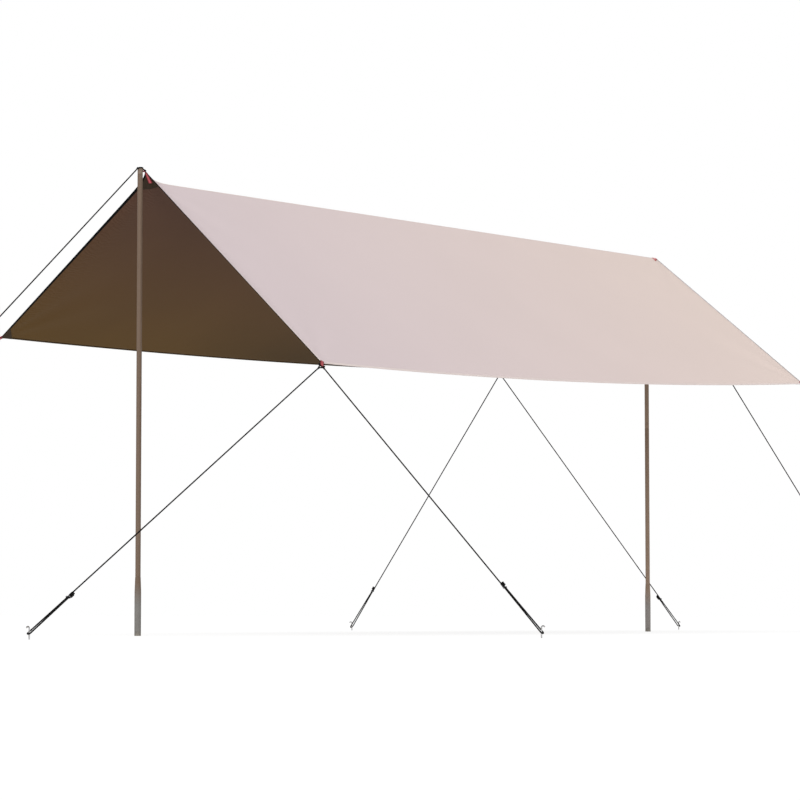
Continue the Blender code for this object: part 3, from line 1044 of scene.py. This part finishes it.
def tie_point(eye, normal, towards):
    """Where a rope that leaves for the point towards meets the rim of its strap."""
    pull = (towards - eye).normalized()
    lift = abs(pull.dot(normal))
    in_plane = (pull - normal * pull.dot(normal)).normalized()
    clearance = (GAP + STRAP_THICKNESS / 2 * lift) / pull.dot(in_plane)
    return eye + in_plane * (STRAP_WIDTH / 2 + clearance)


def add_tied_guy(label, matrix, length, foot, lay):
    """A guy that is tied through its strap's loop and runs straight to its peg."""
    eye = matrix @ Vector((length - STRAP_WIDTH / 2, 0, 0))
    start = tie_point(eye, matrix.to_3x3() @ UP, foot)
    throat = start + peg_run(start, foot)[1] * EYE_LEAD
    add_guy(label, smooth_path(eye_route(matrix, length, throat, lay), EYE_STEPS), start, foot)


def add_near_ridge_guy(matrix, foot):
    """A guy whose doubled end lies over the near pole's cap, one strand on each side of the pin."""
    over = NEAR_POLE_TOP + ROPE_RADIUS + GAP
    beside = PIN_RADIUS + ROPE_RADIUS + GAP
    start = Vector((NEAR_POLE_X - POLE_RADIUS, -beside, over))
    throat = Vector((start.x, 0, over)) + peg_run(start, foot)[1] * ROPE_RADIUS
    loop = smooth_path(cap_route(matrix, throat, beside, over), EYE_STEPS)
    add_guy("ridge_near", loop, start, foot)


# Building shader trees

def feed(tree, socket, value):
    """Feeds an input with another node's output, or with a plain value."""
    if isinstance(value, bpy.types.NodeSocket):
        tree.links.new(value, socket)
    elif socket.type == "RGBA":
        socket.default_value = (*value, 1)
    else:
        socket.default_value = value


def add_node(tree, kind, inputs=None, **settings):
    """Adds a node, sets its properties and feeds its inputs with sockets or values."""
    node = tree.nodes.new(kind)
    for name, value in settings.items():
        setattr(node, name, value)
    for key, value in (inputs or {}).items():
        feed(tree, node.inputs[key], value)
    return node


def calc(tree, operation, first, second=0.0, third=0.0):
    inputs = {0: first, 1: second, 2: third}
    return add_node(tree, "ShaderNodeMath", inputs, operation=operation).outputs[0]


def split(tree, vector):
    return add_node(tree, "ShaderNodeSeparateXYZ", {0: vector}).outputs


def cloudy(tree, place, scale, detail):
    inputs = {"Vector": place, "Scale": scale, "Detail": detail}
    return add_node(tree, "ShaderNodeTexNoise", inputs).outputs[0]


def coordinates(tree, kind):
    return tree.nodes.new("ShaderNodeTexCoord").outputs[kind]


def blend_colours(tree, factor, first, second):
    return add_node(tree, "ShaderNodeMix", {0: factor, 6: first, 7: second}, data_type="RGBA").outputs[2]


def tone(tree, colour, factor):
    """A colour socket made lighter or darker by a factor."""
    inputs = {0: colour, "Scale": factor}
    return add_node(tree, "ShaderNodeVectorMath", inputs, operation="SCALE").outputs[0]


def ramp_between(tree, value, low, high):
    """0 at low, 1 at high, clamped."""
    return add_node(tree, "ShaderNodeMapRange", {0: value, 1: low, 2: high}).outputs[0]


def new_pattern(name, output, **sizes):
    """A shader group that reads a place and some sizes, and has one output."""
    group = bpy.data.node_groups.new(name, "ShaderNodeTree")
    group.interface.new_socket("Place", in_out="INPUT", socket_type="NodeSocketVector")
    for label, default in sizes.items():
        socket = group.interface.new_socket(label, in_out="INPUT", socket_type="NodeSocketFloat")
        socket.default_value = default
    group.interface.new_socket(output, in_out="OUTPUT", socket_type="NodeSocketFloat")
    patterns[name] = group
    given = group.nodes.new("NodeGroupInput").outputs
    return group, given, given["Place"], group.nodes.new("NodeGroupOutput").inputs[output]


def use_pattern(tree, name, place, **sizes):
    inputs = {"Place": place, **sizes}
    return add_node(tree, "ShaderNodeGroup", inputs, node_tree=patterns[name]).outputs[0]


def new_finish(name, roughness, metallic=0.0, gloss=0.2):
    material = bpy.data.materials.new(name)
    material.use_nodes = True
    tree = material.node_tree
    shader = tree.nodes["Principled BSDF"]
    shader.inputs["Roughness"].default_value = roughness
    shader.inputs["Metallic"].default_value = metallic
    shader.inputs["Specular IOR Level"].default_value = gloss
    finishes[name] = material
    return tree, shader


def set_colour(tree, shader, colour, place, scale, amount):
    """Gives a finish its colour, with slow uneven tone."""
    cloud = use_pattern(tree, "mottling", place, Scale=scale, Amount=amount)
    feed(tree, shader.inputs["Base Color"], tone(tree, colour, cloud))


def set_bump(tree, shader, height, strength, distance):
    inputs = {"Height": height, "Strength": strength, "Distance": distance}
    feed(tree, shader.inputs["Normal"], add_node(tree, "ShaderNodeBump", inputs).outputs[0])


# Shader groups: patterns that several finishes share

def woven_threads():
    """Plain weave: threads cross over and under at the given pitch."""
    group, given, place, height = new_pattern("woven_threads", "Height", Pitch=MM)
    waves = []
    for value in split(group, place)[:2]:
        turns = calc(group, "MULTIPLY", calc(group, "DIVIDE", value, given["Pitch"]), math.pi)
        waves.append(calc(group, "SINE", turns))
    over = calc(group, "MULTIPLY", waves[0], waves[1])
    feed(group, height, calc(group, "MULTIPLY_ADD", over, 0.5, 0.5))


def mottling():
    """Slow uneven tone, a factor around one."""
    group, given, place, factor = new_pattern("mottling", "Factor", Scale=3.0, Amount=0.05)
    swing = calc(group, "SUBTRACT", cloudy(group, place, given["Scale"], detail=4.0), 0.5)
    change = calc(group, "MULTIPLY", swing, given["Amount"])
    feed(group, factor, calc(group, "MULTIPLY_ADD", change, 2.0, 1.0))


def thread_row():
    """A row of stitches at one distance across a strip: 1 on the thread."""
    group, given, place, mask = new_pattern("thread_row", "Mask", Row=0.0)
    along, across, _ = split(group, place)
    off = calc(group, "ABSOLUTE", calc(group, "SUBTRACT", across, given["Row"]))
    near_row = calc(group, "LESS_THAN", off, STITCH_WIDTH / 2)
    step = calc(group, "FRACT", calc(group, "DIVIDE", along, STITCH_PITCH))
    on_stitch = calc(group, "LESS_THAN", step, STITCH_LENGTH / STITCH_PITCH)
    feed(group, mask, calc(group, "MULTIPLY", near_row, on_stitch))


def braid():
    """Strands that cross on a slant, as on a braided rope."""
    group, given, place, height = new_pattern("braid", "Height", Pitch=6 * MM, Strands=4.0)
    along, around, _ = split(group, place)
    forward = calc(group, "DIVIDE", along, given["Pitch"])
    round_turns = calc(group, "MULTIPLY", around, given["Strands"])
    waves = []
    for operation in ("ADD", "SUBTRACT"):
        turns = calc(group, "MULTIPLY", calc(group, operation, forward, round_turns), 2 * math.pi)
        waves.append(calc(group, "SINE", turns))
    crossing = calc(group, "MULTIPLY", waves[0], waves[1])
    feed(group, height, calc(group, "ABSOLUTE", crossing))


def edge_pucker():
    """Small gathers square to the gable edges, which fade away from them."""
    group, given, place, height = new_pattern(
        "edge_pucker", "Height", Spacing=24 * MM, Reach=35 * MM)
    along, across, _ = split(group, place)
    wander = calc(group, "MULTIPLY", cloudy(group, place, scale=9.0, detail=2.0), 5.0)
    turns = calc(group, "ADD", calc(group, "DIVIDE", across, given["Spacing"]), wander)
    wave = calc(group, "SINE", calc(group, "MULTIPLY", turns, 2 * math.pi))
    beyond = calc(group, "SUBTRACT", calc(group, "ABSOLUTE", along), HALF_LENGTH)
    fade = calc(group, "EXPONENT", calc(group, "DIVIDE", beyond, given["Reach"]))
    feed(group, height, calc(group, "MULTIPLY", wave, fade))


def scuffing():
    """Small worn marks: 1 where the surface is rubbed."""
    group, given, place, mask = new_pattern("scuffing", "Mask", Scale=60.0, Share=0.3)
    edge = calc(group, "SUBTRACT", 0.75, given["Share"])
    over = calc(group, "SUBTRACT", cloudy(group, place, given["Scale"], detail=6.0), edge)
    sharp = calc(group, "MULTIPLY", over, 8.0)
    sharp.node.use_clamp = True
    feed(group, mask, sharp)


# Finishes

def add_cloth_relief(tree, shader):
    """Weave all over, and gathers along the gable edges."""
    place = coordinates(tree, "UV")
    weave = use_pattern(tree, "woven_threads", place, Pitch=CLOTH_WEAVE)
    pucker = use_pattern(tree, "edge_pucker", place, Spacing=26 * MM, Reach=75 * MM)
    gathers = calc(tree, "MULTIPLY", pucker, PUCKER_RELIEF)
    relief = calc(tree, "MULTIPLY_ADD", weave, WEAVE_RELIEF, gathers)
    set_bump(tree, shader, relief, strength=1.0, distance=1 * MM)


def outer_cloth_finish():
    """Pale warm coated cloth, a little warmer towards its far end."""
    tree, shader = new_finish("outer_cloth", roughness=0.8)
    place = coordinates(tree, "Object")
    warm = ramp_between(tree, split(tree, place)[0], -HALF_LENGTH, HALF_LENGTH)
    colour = blend_colours(tree, warm, OUTER_NEAR, OUTER_FAR)
    set_colour(tree, shader, colour, place, scale=1.4, amount=0.03)
    add_cloth_relief(tree, shader)


def inner_cloth_finish():
    """Dark brown coated underside, greyer towards the ridge, with painted shade low down past its near
    part.
    """
    tree, shader = new_finish("inner_cloth", roughness=0.7, gloss=0.1)
    place = coordinates(tree, "Object")
    along, _, height = split(tree, place)
    upper = ramp_between(tree, height, *INNER_TONE_HEIGHTS)
    brown = blend_colours(tree, upper, INNER_LOW, INNER_HIGH)
    # Painted shade: the brown is darkened low down, past the near part of the underside.
    shade_past_near = ramp_between(tree, along, *INNER_PAINTED_SHADE_ALONG)
    shade_low_down = calc(tree, "MULTIPLY", shade_past_near, ramp_between(tree, height, *INNER_PAINTED_SHADE_HEIGHTS))
    shade = calc(tree, "MULTIPLY_ADD", shade_low_down, -INNER_PAINTED_SHADE, 1.0)
    set_colour(tree, shader, tone(tree, brown, shade), place, scale=2.0, amount=0.08)
    add_cloth_relief(tree, shader)


def sewn_finish(name, colour, thread, rows, pitch, roughness):
    """Cloth or tape with rows of stitches along it."""
    tree, shader = new_finish(name, roughness, gloss=0.06)
    place = coordinates(tree, "UV")
    masks = [use_pattern(tree, "thread_row", place, Row=row) for row in rows]
    mask = masks[0]
    for other in masks[1:]:
        mask = calc(tree, "MAXIMUM", mask, other)
    plain = blend_colours(tree, mask, colour, thread)
    set_colour(tree, shader, plain, coordinates(tree, "Object"), scale=6.0, amount=0.05)
    weave = use_pattern(tree, "woven_threads", place, Pitch=pitch)
    set_bump(tree, shader, calc(tree, "MAXIMUM", weave, mask), strength=0.4, distance=0.3 * MM)


def strand_finish(name, dark, light, roughness, relief, pattern, **sizes):
    """Braided cord or coarse cloth, with painted light on the strands and painted shade between them."""
    tree, shader = new_finish(name, roughness, gloss=0.06)
    height = use_pattern(tree, pattern, coordinates(tree, "UV"), **sizes)
    # Painted shade and light: dark between the strands, light on them.
    plain = blend_colours(tree, height, dark, light)
    set_colour(tree, shader, plain, coordinates(tree, "Object"), scale=25.0, amount=0.12)
    set_bump(tree, shader, height, strength=0.6, distance=relief)


def webbing_finish(name, shaded_border, middle):
    """Woven strap with painted shade along its edges and between its threads, paler along its middle."""
    tree, shader = new_finish(name, roughness=0.75)
    place = coordinates(tree, "UV")
    off = calc(tree, "ABSOLUTE", calc(tree, "SUBTRACT", split(tree, place)[1], STRAP_WIDTH / 2))
    # Painted shade: the colour darkens from the middle out to the strap's edges.
    clear_of_edge_shade = ramp_between(tree, off, *EDGE_SHADE_ZONE)
    height = use_pattern(tree, "woven_threads", place, Pitch=1.6 * MM)
    # Painted shade and light: darker between the threads of the weave, lighter on them.
    shade = calc(tree, "MULTIPLY_ADD", height, 0.4, 0.8)
    colour = tone(tree, blend_colours(tree, clear_of_edge_shade, shaded_border, middle), shade)
    feed(tree, shader.inputs["Base Color"], colour)
    set_bump(tree, shader, height, strength=0.6, distance=0.5 * MM)


def hard_finish(name, colour, worn, share, roughness, scale, metallic=0.0):
    """Paint, plastic or metal with uneven tone, fine grain and small rubbed marks."""
    tree, shader = new_finish(name, roughness, metallic)
    place = coordinates(tree, "Object")
    mask = use_pattern(tree, "scuffing", place, Scale=scale, Share=share)
    set_colour(tree, shader, blend_colours(tree, mask, colour, worn), place, scale=5.0, amount=0.08)
    rubbed = calc(tree, "MULTIPLY_ADD", mask, WORN_ROUGHNESS, roughness)
    feed(tree, shader.inputs["Roughness"], rubbed)
    grain = cloudy(tree, place, scale=900.0, detail=2.0)
    set_bump(tree, shader, grain, strength=0.15, distance=0.1 * MM)


def boot_finish(name, rubber_grey_painted_light, paint):
    """Pole paint with painted light, turning to grey rubber towards the ground, with grit at its foot.
    """
    tree, shader = new_finish(name, roughness=0.7)
    place = coordinates(tree, "Object")
    height = split(tree, place)[2]
    painted = ramp_between(tree, height, *BOOT_PAINT_HEIGHTS)
    rubber = blend_colours(tree, painted, rubber_grey_painted_light, paint)
    grit = use_pattern(tree, "scuffing", place, Scale=260.0, Share=0.35)
    low = ramp_between(tree, height, *BOOT_GRIT_HEIGHTS)
    dusty = blend_colours(tree, low, rubber, BOOT_DARK)
    marked = blend_colours(tree, calc(tree, "MULTIPLY", grit, low), dusty, BOOT_DUST)
    set_colour(tree, shader, marked, place, scale=30.0, amount=0.1)
    set_bump(tree, shader, grit, strength=0.3, distance=0.3 * MM)


def make_finishes():
    for make in (woven_threads, mottling, thread_row, braid, edge_pucker, scuffing,
                 outer_cloth_finish, inner_cloth_finish):
        make()
    sewn_finish("hem", HEM_PALE, THREAD_PALE, HEM_ROWS, CLOTH_WEAVE, roughness=0.8)
    sewn_finish("gable_binding", BLACK, CHARCOAL, TAPE_ROWS, TAPE_WEAVE, roughness=0.85)
    sewn_finish("eave_binding", EAVE_BROWN, INNER_LOW, TAPE_ROWS, TAPE_WEAVE, roughness=0.85)
    # The patch and the rope go from painted shade between their threads to painted light on them.
    strand_finish("patch", PATCH_SHADED_GAPS, PATCH_LIT_THREADS, roughness=0.8, relief=0.3 * MM,
                  pattern="woven_threads", Pitch=TAPE_WEAVE)
    strand_finish("rope", BLACK, CHARCOAL, roughness=0.85, relief=0.6 * MM,
                  pattern="braid", Pitch=6 * MM, Strands=4.0)
    # Both straps are painted in shade along their edges.
    webbing_finish("webbing", RED_SHADED_EDGE, RED_LIGHT)
    webbing_finish("far_webbing", RED_LIGHT, RED_FADED)
    hard_finish("thread", THREAD_PALE, HEM_PALE, share=0.2, roughness=0.8, scale=500.0)
    hard_finish("webbing_thread", BLACK, CHARCOAL, share=0.2, roughness=0.8, scale=500.0)
    # Each pole gets its own copy of the same paint, with painted light in its tone.
    for end in ("near", "far"):
        hard_finish(end + "_pole", POLE_BROWN_PAINTED_LIGHT[end], POLE_WORN_PAINTED_LIGHT[end], share=0.12,
                    roughness=0.5, scale=40.0)
        boot_finish(end + "_boot", BOOT_GREY_PAINTED_LIGHT[end], POLE_BROWN_PAINTED_LIGHT[end])
    hard_finish("cap", CAP_BROWN, CAP_WORN, share=0.25, roughness=0.55, scale=120.0)
    hard_finish("tensioner", BAR_DARK, BAR_WORN, share=0.2, roughness=0.4, scale=150.0, metallic=0.8)
    hard_finish("peg", STEEL, STEEL_DULL, share=0.3, roughness=0.35, scale=200.0, metallic=1.0)


# Stage

def add_floor():
    tree, shader = new_finish("pale_floor", roughness=0.9, gloss=0.0)
    for label, value in (("Base Color", FLOOR_GREY), ("Emission Color", WHITE),
                         ("Emission Strength", FLOOR_GLOW)):
        feed(tree, shader.inputs[label], value)
    bm = bmesh.new()
    bmesh.ops.create_grid(bm, x_segments=1, y_segments=1, size=FLOOR_HALF)
    mesh_object("floor", bm, ["pale_floor"])


def add_world():
    """A white sky that is a little stronger behind the canopy than the light it gives."""
    world = bpy.data.worlds.new("studio")
    world.use_nodes = True
    tree = world.node_tree
    light = tree.nodes["Background"]
    feed(tree, light.inputs["Color"], WHITE)
    feed(tree, light.inputs["Strength"], SKY_STRENGTH)
    backdrop = add_node(tree, "ShaderNodeBackground", {"Color": WHITE, "Strength": 1.0})
    path = tree.nodes.new("ShaderNodeLightPath")
    mix = add_node(tree, "ShaderNodeMixShader", {0: path.outputs["Is Camera Ray"],
                                                 1: light.outputs[0], 2: backdrop.outputs[0]})
    feed(tree, tree.nodes["World Output"].inputs[0], mix.outputs[0])
    bpy.context.scene.world = world


def add_light(name, strength, comes_from):
    data = bpy.data.lights.new(name, "SUN")
    data.energy = strength
    data.angle = LIGHT_SPREAD
    new_object(name, data).rotation_euler = (-comes_from).to_track_quat("-Z", "Y").to_euler()


def add_camera():
    data = bpy.data.cameras.new("view")
    data.lens = CAMERA_LENS
    data.clip_end = 500
    camera = new_object("view", data)
    camera.location = CAMERA_PLACE
    camera.rotation_euler = (math.pi / 2 + CAMERA_PITCH, 0, -CAMERA_YAW)
    bpy.context.scene.camera = camera


def build():
    make_finishes()
    add_camera()
    add_world()
    add_light("soft_key", KEY_STRENGTH, KEY_FROM)
    add_light("low_fill", FILL_STRENGTH, FILL_FROM)
    add_floor()
    bpy.context.scene.view_settings.view_transform = "Standard"

    cloth = add_cloth()
    sewn = [add_hem(), add_ridge_seam()] + add_bindings()
    sewn += [add_patch(*plan) for plan in patch_plans()]
    sewn.append(add_patch_stitches())

    for corner in CORNERS:
        matrix = corner_strap_matrix(corner)
        sewn += [add_corner_strap(corner, matrix), add_corner_stitches(corner, matrix)]
        x_sign, y_sign = signs(corner)
        for lay, (way, (x, y)) in enumerate((("_end", END_PEG), ("_side", SIDE_PEG))):
            add_tied_guy(corner + way, matrix, STRAP_LENGTH, Vector((x_sign * x, y_sign * y, 0)), lay)

    near = ridge_strap_matrix("near")
    far = ridge_strap_matrix("far")
    sewn += [add_ridge_strap("near", near), add_ridge_strap("far", far), add_ridge_stitches()]
    add_near_ridge_guy(near, Vector((-RIDGE_PEG_X, 0, 0)))
    add_tied_guy("ridge_far", far, RIDGE_STRAP_LENGTH, Vector((RIDGE_PEG_X, 0, 0)), 0)

    add_pole("near", NEAR_POLE_X)
    add_pole("far", FAR_POLE_X)


build()
